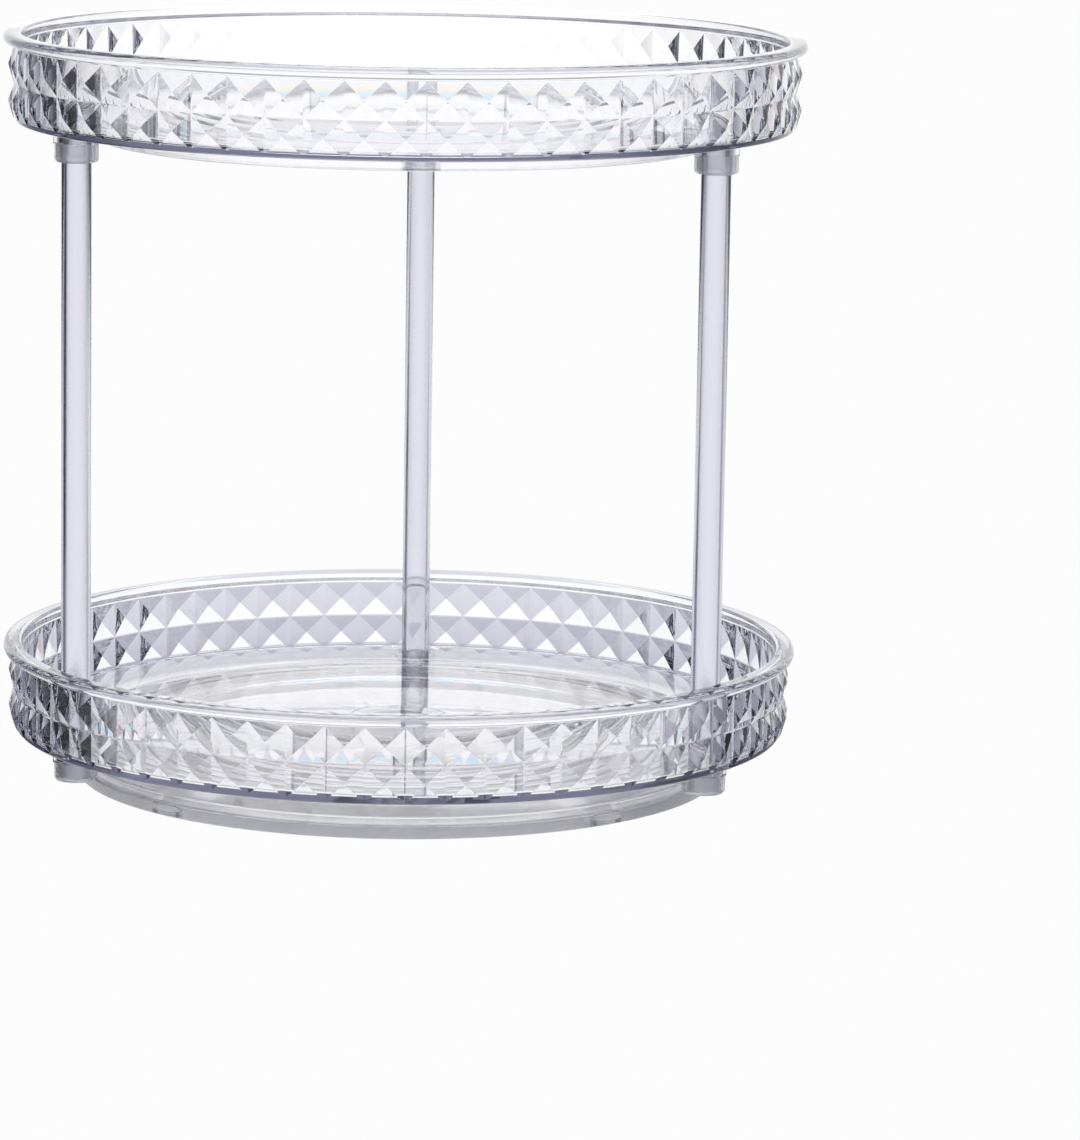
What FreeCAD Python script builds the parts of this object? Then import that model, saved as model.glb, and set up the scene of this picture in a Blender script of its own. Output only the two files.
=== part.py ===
"""Two-tier clear turntable: a fixed base, a ball race, and two round trays joined by three posts.

The origin is the centre of the footprint, on the surface that the pads stand on, with +Z up.
Lengths are millimetres and angles are degrees. Sections called "tray" are written in the tray's
own frame, whose z = 0 is the flat underside of its floor.
"""
import FreeCAD
import Part
import math
import os

# ---------------------------------------------------------------- driving dimensions
RIM_RADIUS = 117.5            # outermost radius of each tray, over the rolled rim
TOTAL_HEIGHT = 220.0          # pads to the upper rim
TRAY_HEIGHT = 26.0            # underside of a tray's floor to the top of its rim
TIER_PITCH = 179.5            # one tray to the same place on the other
POST_ANGLES = {"back": 90.0, "right": -30.0, "left": 210.0}
LOWER_TRAY_TURN = -120.0      # the two trays come out of like moulds, fitted one post apart

# tray wall and floor
FLOOR_THICKNESS = 2.2
RIM_BEAD_HEIGHT = 3.3
RIM_INNER_ROUND = 1.2
BEAD_OVER_FACETS = 1.5        # how far the rim stands out past the tips of the facets
FACET_HEIGHT = 1.6            # how far a facet's tip stands out from the flat it sits on
FACETS_ROUND = 64
FACET_ROWS = 2
FACET_ROW_HEIGHT = 10.65
FACETS_UNDER_BEAD = 0.6       # plain neck between the bead and the first row
WALL_BEHIND_FACETS = 2.4      # at the rim
WALL_DRAFT = 1.2              # how much the bore of the tray narrows from rim to floor
FACET_BAND_EMBED = 1.4        # how deep the facet band is sunk into the wall
FACET_SKIN = 0.5              # facet band's flats stand this far out of the plain wall
BOTTOM_ROUND = 0.7
FACETS_FOOT = 1.6             # from the underside of the floor up to the facets
FLOOR_INNER_ROUND = 1.2

# tray underside
SKIRT_RADIUS = 90.0
SKIRT_THICKNESS = 2.0
SKIRT_DEPTH = 5.0

# posts and what holds them
POST_RADIUS = 4.3
POST_TO_WALL = 0.3            # from a post to the foot of the wall's inner round
POST_WALL = 1.2
POST_CLEARANCE = 0.08
STACK_GAP = 0.1               # gap between the faces of stacked small pieces
SOCKET_ROOF = 1.6             # floor left over the upper end of a post
BOSS_DEPTH = 2.4
BOSS_INSET = 0.05             # how much smaller the boss is than the nut
BOSS_PAD_INSET = 0.5          # how much smaller its drawn-out part is than the boss
BOSS_PAD_SHIFT = 1.2          # the boss is drawn out towards the wall by this much
SPIGOT_WALL = 0.62
SPIGOT_DEPTH = 4.2
COLLAR_SIDES = 12
COLLAR_WALL = 1.05            # at the middle of a flat
COLLAR_LIP = 1.2
COLLAR_CHAMFER = 1.1
PLUG_LENGTH = 9.0             # of the stub on a foot cap, inside the post
PLUG_CLEARANCE = 0.05

# ball race
RACE_RADIUS = 79.0
RACE_WIDTH = 7.0
BALL_RADIUS = 2.5
BALL_COUNT = 12
BALL_GAP = 0.2
RACE_SPLIT = 1.2              # each race stops this far above or below the balls' centres
CAGE_THICKNESS = 1.8
CAGE_WIDTH = 8.4
CAGE_HOLE_CLEARANCE = 0.15

# base
PAD_STAND = 0.6               # how far the pads stand out of the base
PAD_RADIUS = 5.0
PAD_THICKNESS = 1.0
PAD_CIRCLE_RADIUS = 84.0
PAD_CLEARANCE = 0.1
PAD_COUNT = 4
PLATE_THICKNESS = 2.4
FLANGE_RADIUS = 95.5
FLANGE_HEIGHT = 3.8
FLANGE_ROUND = 0.8
STEP_RADIUS = 93.6
STEP_HEIGHT = 1.9
DRUM_WALL = 1.6
DRUM_CLEARANCE = 0.7          # round the tray's skirt
DRUM_TOP_GAP = 2.0            # below the tray's underside
BALL_CENTRE_ABOVE_PLATE = 6.2
RIB_WIDTH = 1.8
RIB_HEIGHT = 1.5
RIB_FIRST = 5.0
RIB_PITCH = 16.6
RIB_TURN = 14.0
HUB_RING_RADIUS = 28.0

# centre pivot
PIVOT_RADIUS = 6.0
PIVOT_CLEARANCE = 0.08
PIVOT_PLAY = 0.2              # the tray can lift this far before the washer stops it
HUB_FLOOR = 2.0
HUB_SINK = 3.2                # floor of the hub below the floor of the tray
HUB_RADIUS = 15.0
HUB_RECESS_RADIUS = 12.5
CAP_RADIUS = 14.5
CAP_THICKNESS = 0.9
CAP_CLEARANCE = 0.1
CAP_RING_DEPTH = 1.0
CAP_RING_WALL = 0.9
WASHER_RADIUS = 11.0
WASHER_THICKNESS = 0.8
PIN_RADIUS = 2.55
PIN_CLEARANCE = 0.05
PIN_HEAD_RADIUS = 5.0
PIN_HEAD_HEIGHT = 1.2
PIN_HEAD_CHAMFER = 0.4
PIN_LENGTH = 8.0
PIN_END_GAP = 0.5

# ---------------------------------------------------------------- levels that follow
UPPER_TRAY_Z = TOTAL_HEIGHT - TRAY_HEIGHT
LOWER_TRAY_Z = UPPER_TRAY_Z - TIER_PITCH
PLATE_TOP = PAD_STAND + PLATE_THICKNESS
BALL_Z = PLATE_TOP + BALL_CENTRE_ABOVE_PLATE
GROOVE_RADIUS = BALL_RADIUS + BALL_GAP
HUB_FLOOR_TOP = FLOOR_THICKNESS - HUB_SINK            # tray frame
PIVOT_TOP = LOWER_TRAY_Z + HUB_FLOOR_TOP + PIVOT_PLAY

FACET_TIP_RADIUS = RIM_RADIUS - BEAD_OVER_FACETS
FLAT_RADIUS = FACET_TIP_RADIUS - FACET_HEIGHT         # axis to the middle of a flat
CORNER_RADIUS = FLAT_RADIUS / math.cos(math.pi / FACETS_ROUND)
PLAIN_WALL_RADIUS = FLAT_RADIUS - FACET_SKIN
INNER_TOP_RADIUS = FLAT_RADIUS - WALL_BEHIND_FACETS
INNER_FLOOR_RADIUS = INNER_TOP_RADIUS - WALL_DRAFT
BEAD_RADIUS = RIM_BEAD_HEIGHT / 2
BAND_TOP = TRAY_HEIGHT - RIM_BEAD_HEIGHT - FACETS_UNDER_BEAD
BAND_BOTTOM = FACETS_FOOT

POST_CIRCLE_RADIUS = INNER_FLOOR_RADIUS - FLOOR_INNER_ROUND - POST_TO_WALL - POST_RADIUS
SPIGOT_RADIUS = POST_RADIUS + POST_CLEARANCE + SPIGOT_WALL
COLLAR_BORE = SPIGOT_RADIUS + STACK_GAP
COLLAR_FLAT_RADIUS = COLLAR_BORE + COLLAR_WALL        # axis to the middle of a flat
BOSS_RADIUS = COLLAR_FLAT_RADIUS - BOSS_INSET
BOSS_PAD_RADIUS = BOSS_RADIUS - BOSS_PAD_INSET
COLLAR_TOP = -BOSS_DEPTH - STACK_GAP                  # tray frame, as the next four
SPIGOT_END = -BOSS_DEPTH - SPIGOT_DEPTH
LIP_TOP = SPIGOT_END - STACK_GAP
COLLAR_BOTTOM = LIP_TOP - COLLAR_LIP
SOCKET_TOP = FLOOR_THICKNESS - SOCKET_ROOF

POST_BORE = POST_RADIUS - POST_WALL
POST_TOP = UPPER_TRAY_Z + SOCKET_TOP - STACK_GAP
POST_BOTTOM = LOWER_TRAY_Z + LIP_TOP + STACK_GAP

DRUM_INNER_RADIUS = SKIRT_RADIUS + DRUM_CLEARANCE
DRUM_TOP = LOWER_TRAY_Z - DRUM_TOP_GAP

CENTRE = FreeCAD.Vector(0, 0, 0)
UP = FreeCAD.Vector(0, 0, 1)


# ---------------------------------------------------------------- small helpers
def point(radius, z):
    return FreeCAD.Vector(radius, 0, z)


def line(start, end):
    return Part.makeLine(point(*start), point(*end))


def arc(start, middle, end):
    return Part.Arc(point(*start), point(*middle), point(*end)).toShape()


def on_circle(centre, radius, degrees):
    """A point of a circle in the profile plane."""
    turn = math.radians(degrees)
    return (centre[0] + radius * math.cos(turn), centre[1] + radius * math.sin(turn))


def revolve(edges):
    """The solid that a closed profile sweeps round the axis."""
    face = Part.Face(Part.Wire(Part.__sortEdges__(edges)))
    solid = face.revolve(CENTRE, UP, 360)
    return solid if solid.Volume > 0 else solid.reversed()


def polyline(points):
    """Edges joining (radius, z) points in turn and back to the first."""
    return [line(a, b) for a, b in zip(points, points[1:] + points[:1])]


def cylinder(radius, low, high, x=0.0, y=0.0):
    return Part.makeCylinder(radius, high - low, FreeCAD.Vector(x, y, low), UP)


def ring(inner, outer, low, high, x=0.0, y=0.0):
    return cylinder(outer, low, high, x, y).cut(cylinder(inner, low - 1, high + 1, x, y))


def polar(radius, degrees):
    turn = math.radians(degrees)
    return radius * math.cos(turn), radius * math.sin(turn)


def moved(shape, z, turn=0.0):
    placed = shape.copy()
    placed.rotate(CENTRE, UP, turn)
    placed.translate(FreeCAD.Vector(0, 0, z))
    return placed


def groove_edges(left, right, edge_z, centre_z, side):
    """Race face at edge_z from radius left to right, with a round groove for the balls.

    side is 1 where the groove is hollowed upwards and -1 where it is hollowed downwards.
    """
    half = math.sqrt(GROOVE_RADIUS ** 2 - (edge_z - centre_z) ** 2)
    return [
        line((left, edge_z), (RACE_RADIUS - half, edge_z)),
        arc((RACE_RADIUS - half, edge_z), (RACE_RADIUS, centre_z + side * GROOVE_RADIUS),
            (RACE_RADIUS + half, edge_z)),
        line((RACE_RADIUS + half, edge_z), (right, edge_z)),
    ]


# ---------------------------------------------------------------- tray: facet band
def facet_polygons():
    """Flat polygons of the band's outer face, with the last row cut short by the band's bottom."""
    step = 2 * math.pi / FACETS_ROUND

    def corner(k, z):
        return FreeCAD.Vector(CORNER_RADIUS * math.cos(k * step), CORNER_RADIUS * math.sin(k * step), z)

    polygons = []
    for row in range(FACET_ROWS):
        top = BAND_TOP - row * FACET_ROW_HEIGHT
        full_bottom = top - FACET_ROW_HEIGHT
        bottom = max(full_bottom, BAND_BOTTOM)
        middle = (top + full_bottom) / 2
        share = (bottom - full_bottom) / (middle - full_bottom)
        for k in range(FACETS_ROUND):
            tip_turn = (k + 0.5) * step
            tip = FreeCAD.Vector(FACET_TIP_RADIUS * math.cos(tip_turn), FACET_TIP_RADIUS * math.sin(tip_turn), middle)
            top_left, top_right = corner(k, top), corner(k + 1, top)
            low_left, low_right = corner(k, full_bottom), corner(k + 1, full_bottom)
            polygons.append([top_left, tip, top_right])
            if share <= 0:
                polygons.append([low_left, low_right, tip])
                polygons.append([top_left, low_left, tip])
                polygons.append([top_right, tip, low_right])
                continue
            cut_left = low_left + (tip - low_left) * share
            cut_right = low_right + (tip - low_right) * share
            foot_left, foot_right = corner(k, bottom), corner(k + 1, bottom)
            polygons.append([cut_left, cut_right, tip])
            polygons.append([top_left, foot_left, cut_left, tip])
            polygons.append([top_right, tip, cut_right, foot_right])
    return polygons, share


def facet_band():
    """Ring whose outer face is rows of four-sided points, and whose inner face lies in the wall."""
    step = 2 * math.pi / FACETS_ROUND
    inner_radius = CORNER_RADIUS - FACET_BAND_EMBED
    polygons, share = facet_polygons()

    def at(radius, k, z):
        return FreeCAD.Vector(radius * math.cos(k * step), radius * math.sin(k * step), z)

    last_low = BAND_TOP - FACET_ROWS * FACET_ROW_HEIGHT
    last_middle = last_low + FACET_ROW_HEIGHT / 2
    foot_z = max(last_low, BAND_BOTTOM)
    top_outline = [at(CORNER_RADIUS, k, BAND_TOP) for k in range(FACETS_ROUND)]
    foot_outline = []
    for k in range(FACETS_ROUND):
        foot_outline.append(at(CORNER_RADIUS, k, foot_z))
        if share > 0:
            tip = at(FACET_TIP_RADIUS, k + 0.5, last_middle)
            for side in (k, k + 1):
                low = at(CORNER_RADIUS, side, last_low)
                foot_outline.append(low + (tip - low) * share)
    faces = [Part.Face(Part.makePolygon(p + p[:1])) for p in polygons]
    for outline, z in ((top_outline, BAND_TOP), (foot_outline, foot_z)):
        hole = [at(inner_radius, k, z) for k in range(FACETS_ROUND)]
        faces.append(Part.Face([Part.makePolygon(outline + outline[:1]), Part.makePolygon(hole + hole[:1])]))
    for k in range(FACETS_ROUND):
        wall = [at(inner_radius, k, foot_z), at(inner_radius, k, BAND_TOP),
                at(inner_radius, k + 1, BAND_TOP), at(inner_radius, k + 1, foot_z)]
        faces.append(Part.Face(Part.makePolygon(wall + wall[:1])))
    shell = Part.makeShell(faces)
    shell.sewShape()
    solid = Part.makeSolid(shell)
    solid.fix(1e-5, 1e-5, 1e-5)
    return solid if solid.Volume > 0 else solid.reversed()


# ---------------------------------------------------------------- tray: turned body
def wall_edges(start_radius, end_radius):
    """Tray profile from start_radius on the underside, round the wall, to end_radius on the floor."""
    skirt_in = SKIRT_RADIUS - SKIRT_THICKNESS
    bead_bottom = TRAY_HEIGHT - RIM_BEAD_HEIGHT
    bottom_centre = (PLAIN_WALL_RADIUS - BOTTOM_ROUND, BOTTOM_ROUND)
    bead_centre = (RIM_RADIUS - BEAD_RADIUS, TRAY_HEIGHT - BEAD_RADIUS)
    rim_centre = (INNER_TOP_RADIUS + RIM_INNER_ROUND, TRAY_HEIGHT - RIM_INNER_ROUND)
    floor_centre = (INNER_FLOOR_RADIUS - FLOOR_INNER_ROUND, FLOOR_THICKNESS + FLOOR_INNER_ROUND)
    return [
        line((start_radius, 0), (skirt_in, 0)),
        line((skirt_in, 0), (skirt_in, -SKIRT_DEPTH)),
        line((skirt_in, -SKIRT_DEPTH), (SKIRT_RADIUS, -SKIRT_DEPTH)),
        line((SKIRT_RADIUS, -SKIRT_DEPTH), (SKIRT_RADIUS, 0)),
        line((SKIRT_RADIUS, 0), (bottom_centre[0], 0)),
        arc((bottom_centre[0], 0), on_circle(bottom_centre, BOTTOM_ROUND, -45),
            (PLAIN_WALL_RADIUS, BOTTOM_ROUND)),
        line((PLAIN_WALL_RADIUS, BOTTOM_ROUND), (PLAIN_WALL_RADIUS, bead_bottom)),
        line((PLAIN_WALL_RADIUS, bead_bottom), (bead_centre[0], bead_bottom)),
        arc((bead_centre[0], bead_bottom), (RIM_RADIUS, bead_centre[1]), (bead_centre[0], TRAY_HEIGHT)),
        line((bead_centre[0], TRAY_HEIGHT), (rim_centre[0], TRAY_HEIGHT)),
        arc((rim_centre[0], TRAY_HEIGHT), on_circle(rim_centre, RIM_INNER_ROUND, 135),
            (INNER_TOP_RADIUS, rim_centre[1])),
        line((INNER_TOP_RADIUS, rim_centre[1]), (INNER_FLOOR_RADIUS, floor_centre[1])),
        arc((INNER_FLOOR_RADIUS, floor_centre[1]), on_circle(floor_centre, FLOOR_INNER_ROUND, -45),
            (floor_centre[0], FLOOR_THICKNESS)),
        line((floor_centre[0], FLOOR_THICKNESS), (end_radius, FLOOR_THICKNESS)),
    ]


def plain_body():
    """Rim, wall, skirt and an unbroken floor, in one turned profile."""
    edges = wall_edges(0, 0)
    edges.append(line((0, FLOOR_THICKNESS), (0, 0)))
    return revolve(edges)


def hub_body():
    """Rim, wall, skirt and floor with the upper ball race and the hub, in one turned profile."""
    bore = PIVOT_RADIUS + PIVOT_CLEARANCE
    hub_under = HUB_FLOOR_TOP - HUB_FLOOR
    cap_seat = FLOOR_THICKNESS - CAP_THICKNESS
    cap_bore = CAP_RADIUS + CAP_CLEARANCE
    race_in, race_out = RACE_RADIUS - RACE_WIDTH / 2, RACE_RADIUS + RACE_WIDTH / 2
    ball_z = BALL_Z - LOWER_TRAY_Z
    race_face = ball_z + RACE_SPLIT
    edges = [
        line((bore, HUB_FLOOR_TOP), (bore, hub_under)),
        line((bore, hub_under), (HUB_RADIUS, hub_under)),
        line((HUB_RADIUS, hub_under), (HUB_RADIUS, 0)),
        line((HUB_RADIUS, 0), (race_in, 0)),
        line((race_in, 0), (race_in, race_face)),
    ]
    edges += groove_edges(race_in, race_out, race_face, ball_z, 1)
    edges.append(line((race_out, race_face), (race_out, 0)))
    edges += wall_edges(race_out, cap_bore)
    edges += [
        line((cap_bore, FLOOR_THICKNESS), (cap_bore, cap_seat)),
        line((cap_bore, cap_seat), (HUB_RECESS_RADIUS, cap_seat)),
        line((HUB_RECESS_RADIUS, cap_seat), (HUB_RECESS_RADIUS, HUB_FLOOR_TOP)),
        line((HUB_RECESS_RADIUS, HUB_FLOOR_TOP), (bore, HUB_FLOOR_TOP)),
    ]
    return revolve(edges)


def tray(body, socket_top):
    """A turned body with its facet band, and at each post a boss with a threaded spigot."""
    body = body.fuse(facet_band())
    for angle in POST_ANGLES.values():
        x, y = polar(POST_CIRCLE_RADIUS, angle)
        pad_x, pad_y = polar(POST_CIRCLE_RADIUS + BOSS_PAD_SHIFT, angle)
        boss = cylinder(BOSS_RADIUS, -BOSS_DEPTH, FLOOR_THICKNESS / 2, x, y)
        boss = boss.fuse(cylinder(BOSS_PAD_RADIUS, -BOSS_DEPTH, FLOOR_THICKNESS / 2, pad_x, pad_y))
        boss = boss.fuse(cylinder(SPIGOT_RADIUS, SPIGOT_END, 0, x, y))
        body = body.fuse(boss)
    for angle in POST_ANGLES.values():
        x, y = polar(POST_CIRCLE_RADIUS, angle)
        body = body.cut(cylinder(POST_RADIUS + POST_CLEARANCE, SPIGOT_END - 1, socket_top, x, y))
    return body.removeSplitter()


# ---------------------------------------------------------------- posts and the nuts that hold them
def post(angle):
    x, y = polar(POST_CIRCLE_RADIUS, angle)
    return ring(POST_BORE, POST_RADIUS, POST_BOTTOM, POST_TOP, x, y)


def nut_blank(angle):
    """Many-sided nut with a chamfered lower edge, hollow above its lip, in the tray's frame."""
    x, y = polar(POST_CIRCLE_RADIUS, angle)
    height = COLLAR_TOP - COLLAR_BOTTOM
    corner = COLLAR_FLAT_RADIUS / math.cos(math.pi / COLLAR_SIDES)
    outline = []
    for k in range(COLLAR_SIDES):
        dx, dy = polar(corner, 360.0 * k / COLLAR_SIDES)
        outline.append(FreeCAD.Vector(x + dx, y + dy, COLLAR_BOTTOM))
    prism = Part.Face(Part.makePolygon(outline + outline[:1])).extrude(UP * height)
    foot = corner - COLLAR_CHAMFER
    cone = Part.makeCone(foot, foot + height, height, FreeCAD.Vector(x, y, COLLAR_BOTTOM), UP)
    return prism.common(cone).cut(cylinder(COLLAR_BORE, LIP_TOP, COLLAR_TOP + 1, x, y))


def collar(angle):
    """Nut under the upper tray: the post passes through its lip."""
    x, y = polar(POST_CIRCLE_RADIUS, angle)
    return nut_blank(angle).cut(cylinder(POST_RADIUS + POST_CLEARANCE, COLLAR_BOTTOM - 1, LIP_TOP + 1, x, y))


def foot_cap(angle):
    """Closed nut under the lower tray, with a stub that plugs the post."""
    x, y = polar(POST_CIRCLE_RADIUS, angle)
    stub = cylinder(POST_BORE - PLUG_CLEARANCE, LIP_TOP - COLLAR_LIP / 2, LIP_TOP + PLUG_LENGTH, x, y)
    return nut_blank(angle).fuse(stub).removeSplitter()


# ---------------------------------------------------------------- ball race
def ball_places():
    return [polar(RACE_RADIUS, 360.0 * (index + 0.5) / BALL_COUNT) for index in range(BALL_COUNT)]


def bearing_balls():
    return Part.Compound([Part.makeSphere(BALL_RADIUS, FreeCAD.Vector(x, y, BALL_Z)) for x, y in ball_places()])


def ball_cage():
    cage = ring(RACE_RADIUS - CAGE_WIDTH / 2, RACE_RADIUS + CAGE_WIDTH / 2,
                BALL_Z - CAGE_THICKNESS / 2, BALL_Z + CAGE_THICKNESS / 2)
    for x, y in ball_places():
        cage = cage.cut(cylinder(BALL_RADIUS + CAGE_HOLE_CLEARANCE, BALL_Z - CAGE_THICKNESS,
                                 BALL_Z + CAGE_THICKNESS, x, y))
    return cage


# ---------------------------------------------------------------- base
def base_ribs():
    """Parallel ribs in each quarter of the plate, square to those of the next quarter."""
    reach = RACE_RADIUS - RACE_WIDTH / 2
    inner = HUB_RING_RADIUS
    low, high = PLATE_TOP - PLATE_THICKNESS / 2, PLATE_TOP + RIB_HEIGHT
    rim = ring(HUB_RING_RADIUS - RIB_WIDTH / 2, HUB_RING_RADIUS + RIB_WIDTH / 2, low, high)
    keep = ring(inner, reach + RIB_WIDTH / 2, low - 1, high + 1)
    count = int((reach - RIB_FIRST) / RIB_PITCH) + 1
    ribs = rim
    for quarter in range(4):
        for k in range(count):
            offset = RIB_FIRST + k * RIB_PITCH
            bar = Part.makeBox(RIB_WIDTH, reach, high - low, FreeCAD.Vector(offset - RIB_WIDTH / 2, 0, low))
            bar.rotate(CENTRE, UP, RIB_TURN + 90.0 * quarter)
            ribs = ribs.fuse(bar.common(keep))
    return ribs


def base_plate():
    """Fixed foot: flange, stepped drum, plate, lower race and the hollow pivot."""
    race_in, race_out = RACE_RADIUS - RACE_WIDTH / 2, RACE_RADIUS + RACE_WIDTH / 2
    race_face = BALL_Z - RACE_SPLIT
    drum_radius = DRUM_INNER_RADIUS + DRUM_WALL
    flange_top = PAD_STAND + FLANGE_HEIGHT
    step_top = flange_top + STEP_HEIGHT
    pin_bore = PIN_RADIUS + PIN_CLEARANCE
    bore_end = PIVOT_TOP + WASHER_THICKNESS - PIN_LENGTH - PIN_END_GAP
    round_centre = (FLANGE_RADIUS - FLANGE_ROUND, flange_top - FLANGE_ROUND)
    edges = [line((0, PAD_STAND), (FLANGE_RADIUS, PAD_STAND)),
             line((FLANGE_RADIUS, PAD_STAND), (FLANGE_RADIUS, round_centre[1])),
             arc((FLANGE_RADIUS, round_centre[1]), on_circle(round_centre, FLANGE_ROUND, 45),
                 (round_centre[0], flange_top)),
             line((round_centre[0], flange_top), (STEP_RADIUS, flange_top)),
             line((STEP_RADIUS, flange_top), (STEP_RADIUS, step_top)),
             line((STEP_RADIUS, step_top), (drum_radius, step_top)),
             line((drum_radius, step_top), (drum_radius, DRUM_TOP)),
             line((drum_radius, DRUM_TOP), (DRUM_INNER_RADIUS, DRUM_TOP)),
             line((DRUM_INNER_RADIUS, DRUM_TOP), (DRUM_INNER_RADIUS, PLATE_TOP)),
             line((DRUM_INNER_RADIUS, PLATE_TOP), (race_out, PLATE_TOP)),
             line((race_out, PLATE_TOP), (race_out, race_face))]
    edges += groove_edges(race_in, race_out, race_face, BALL_Z, -1)
    edges += [line((race_in, race_face), (race_in, PLATE_TOP)),
              line((race_in, PLATE_TOP), (PIVOT_RADIUS, PLATE_TOP)),
              line((PIVOT_RADIUS, PLATE_TOP), (PIVOT_RADIUS, PIVOT_TOP)),
              line((PIVOT_RADIUS, PIVOT_TOP), (pin_bore, PIVOT_TOP)),
              line((pin_bore, PIVOT_TOP), (pin_bore, bore_end)),
              line((pin_bore, bore_end), (0, bore_end)),
              line((0, bore_end), (0, PAD_STAND))]
    body = revolve(edges).fuse(base_ribs())
    for index in range(PAD_COUNT):
        x, y = pad_place(index)
        body = body.cut(cylinder(PAD_RADIUS + PAD_CLEARANCE, 0, PAD_THICKNESS, x, y))
    return body.removeSplitter()


def pad_place(index):
    return polar(PAD_CIRCLE_RADIUS, 360.0 * (index + 0.5) / PAD_COUNT)


def base_pad(index):
    x, y = pad_place(index)
    return cylinder(PAD_RADIUS, 0, PAD_THICKNESS, x, y)


# ---------------------------------------------------------------- centre pivot
def pivot_washer():
    return ring(PIN_RADIUS + PIN_CLEARANCE, WASHER_RADIUS, PIVOT_TOP, PIVOT_TOP + WASHER_THICKNESS)


def pivot_pin():
    """Push-in pin whose head holds the washer on top of the base's pivot."""
    seat = PIVOT_TOP + WASHER_THICKNESS
    top = seat + PIN_HEAD_HEIGHT
    profile = [(0, seat - PIN_LENGTH), (PIN_RADIUS, seat - PIN_LENGTH), (PIN_RADIUS, seat),
               (PIN_HEAD_RADIUS, seat), (PIN_HEAD_RADIUS, top - PIN_HEAD_CHAMFER),
               (PIN_HEAD_RADIUS - PIN_HEAD_CHAMFER, top), (0, top)]
    return revolve(polyline(profile))


def centre_cap():
    """Flush cover over the hub, in the tray's frame."""
    seat = FLOOR_THICKNESS - CAP_THICKNESS
    ring_out = HUB_RECESS_RADIUS - CAP_CLEARANCE
    ring_in = ring_out - CAP_RING_WALL
    profile = [(0, seat), (ring_in, seat), (ring_in, seat - CAP_RING_DEPTH), (ring_out, seat - CAP_RING_DEPTH),
               (ring_out, seat), (CAP_RADIUS, seat), (CAP_RADIUS, FLOOR_THICKNESS), (0, FLOOR_THICKNESS)]
    return revolve(polyline(profile))


# ---------------------------------------------------------------- the whole part
def build():
    """Every piece by its node name, in place."""
    pieces = {
        "base_plate": base_plate(),
        "bearing_balls": bearing_balls(),
        "ball_cage": ball_cage(),
        "pivot_washer": pivot_washer(),
        "pivot_pin": pivot_pin(),
        "lower_tray": moved(tray(hub_body(), FLOOR_THICKNESS + 1), LOWER_TRAY_Z, LOWER_TRAY_TURN),
        "upper_tray": moved(tray(plain_body(), SOCKET_TOP), UPPER_TRAY_Z),
        "centre_cap": moved(centre_cap(), LOWER_TRAY_Z),
    }
    for index in range(PAD_COUNT):
        pieces[f"base_pad_{index + 1}"] = base_pad(index)
    for place, angle in POST_ANGLES.items():
        pieces[f"post_{place}"] = post(angle)
        pieces[f"upper_collar_{place}"] = moved(collar(angle), UPPER_TRAY_Z)
        pieces[f"foot_cap_{place}"] = moved(foot_cap(angle), LOWER_TRAY_Z)
    return pieces


os.makedirs("parts", exist_ok=True)
for name, shape in build().items():
    shape.exportStep(f"parts/{name}.step")
    print(f"{name:20s} solids {len(shape.Solids)} valid {shape.isValid()} volume {shape.Volume:10.1f}")
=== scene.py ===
import math

import bmesh
import bpy
from mathutils import Matrix, Vector


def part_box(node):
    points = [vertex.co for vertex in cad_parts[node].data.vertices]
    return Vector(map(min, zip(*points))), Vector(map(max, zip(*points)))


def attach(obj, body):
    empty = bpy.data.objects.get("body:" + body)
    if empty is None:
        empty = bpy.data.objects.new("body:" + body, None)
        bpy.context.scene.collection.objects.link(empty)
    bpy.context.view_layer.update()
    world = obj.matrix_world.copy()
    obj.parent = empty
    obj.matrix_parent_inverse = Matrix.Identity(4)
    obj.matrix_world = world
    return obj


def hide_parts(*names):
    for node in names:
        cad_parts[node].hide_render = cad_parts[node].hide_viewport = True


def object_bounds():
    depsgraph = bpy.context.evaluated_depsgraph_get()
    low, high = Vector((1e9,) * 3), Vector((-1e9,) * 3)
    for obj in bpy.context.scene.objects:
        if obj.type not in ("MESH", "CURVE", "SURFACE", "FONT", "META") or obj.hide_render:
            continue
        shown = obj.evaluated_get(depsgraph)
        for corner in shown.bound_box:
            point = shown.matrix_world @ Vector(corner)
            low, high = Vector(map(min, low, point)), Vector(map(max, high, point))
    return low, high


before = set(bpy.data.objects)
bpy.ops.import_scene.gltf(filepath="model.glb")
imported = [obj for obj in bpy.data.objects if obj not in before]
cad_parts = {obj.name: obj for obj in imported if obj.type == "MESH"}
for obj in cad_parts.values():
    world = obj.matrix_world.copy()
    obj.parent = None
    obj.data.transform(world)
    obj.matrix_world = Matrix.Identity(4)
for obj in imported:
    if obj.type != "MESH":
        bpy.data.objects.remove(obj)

cad_low, cad_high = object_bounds()
mm = 0.001


# ------------------------------------------------------------------------------------------------
# The clear plastic. Trays, posts, nuts and base are all moulded in the same clear, hard plastic
# with a faint lavender cast. It is colourless in a thin wall, and a sheet seen edge-on goes slate
# blue. The surface is polished, with slow waves left by the mould and fine scuffs from use.
class Tap:
    """One socket of a material's nodes. Arithmetic on taps adds Math nodes."""

    def __init__(self, finish, socket):
        self.finish = finish
        self.socket = socket

    def _with(self, operation, first, second):
        return self.finish.node("ShaderNodeMath", {"operation": operation}, {0: first, 1: second})

    def __add__(self, other):
        return self._with("ADD", self, other)

    def __radd__(self, other):
        return self._with("ADD", other, self)

    def __sub__(self, other):
        return self._with("SUBTRACT", self, other)

    def __mul__(self, other):
        return self._with("MULTIPLY", self, other)

    def __truediv__(self, other):
        return self._with("DIVIDE", self, other)


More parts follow.
